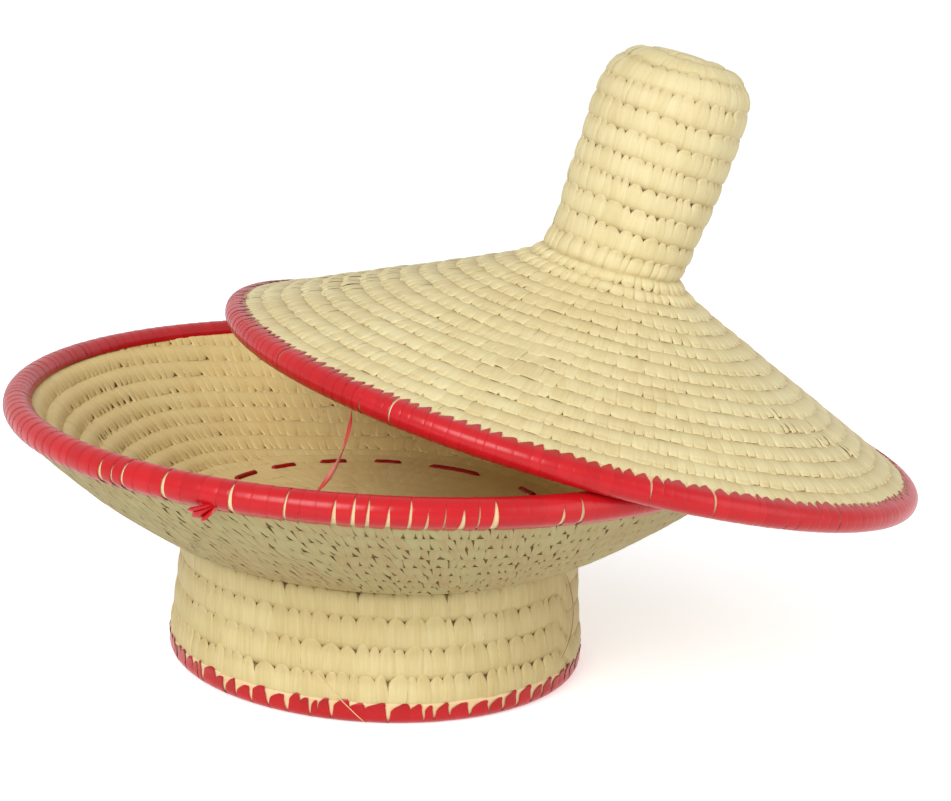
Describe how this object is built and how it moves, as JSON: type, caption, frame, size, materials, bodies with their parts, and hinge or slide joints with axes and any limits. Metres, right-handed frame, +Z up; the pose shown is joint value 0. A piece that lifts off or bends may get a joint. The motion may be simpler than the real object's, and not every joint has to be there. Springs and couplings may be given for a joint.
{
  "type": "lidded straw basket",
  "caption": "Coiled straw basket: a wide shallow bowl on a round splayed foot, with a conical lid laid ajar that has a tall round handle. Red leaf binds the rims and the base.",
  "frame": {"origin": "centre of the whole basket's bounding box, on the surface that it stands on", "axes": "+Z up; +X the way the ajar lid slopes down past the bowl's rim; the basket is alike on both sides of the XZ plane"},
  "size_m": [0.3626, 0.2986, 0.2467],
  "materials": {
    "natural_straw": "natural palm leaf strips stitched over coiled grass, satin to matte",
    "bowl_straw": "weathered palm leaf strips stitched over coiled grass, matte",
    "core_grass": "dry grass bundle, matte",
    "red_leaf": "dyed red leaf strips wound tight, satin sheen"
  },
  "bodies": {
    "base": {"foot_wall": "natural_straw", "foot_base_core": "core_grass", "foot_base_binding": "red_leaf", "bowl_floor": "bowl_straw", "floor_lashing": "red_leaf", "bowl_wall": "bowl_straw", "bowl_rim_core": "core_grass", "bowl_rim_binding": "red_leaf"},
    "lid": {"lid_cone": "natural_straw", "lid_rim_core": "core_grass", "lid_rim_binding": "red_leaf", "handle_wall": "natural_straw", "handle_cap": "natural_straw", "loose_red_strand": "red_leaf"}
  },
  "joints": [
    {"name": "lid_lift", "type": "slide", "parent": "base", "child": "lid", "axis": [0, 0, 1], "range_m": [0, 0.15]}
  ]
}
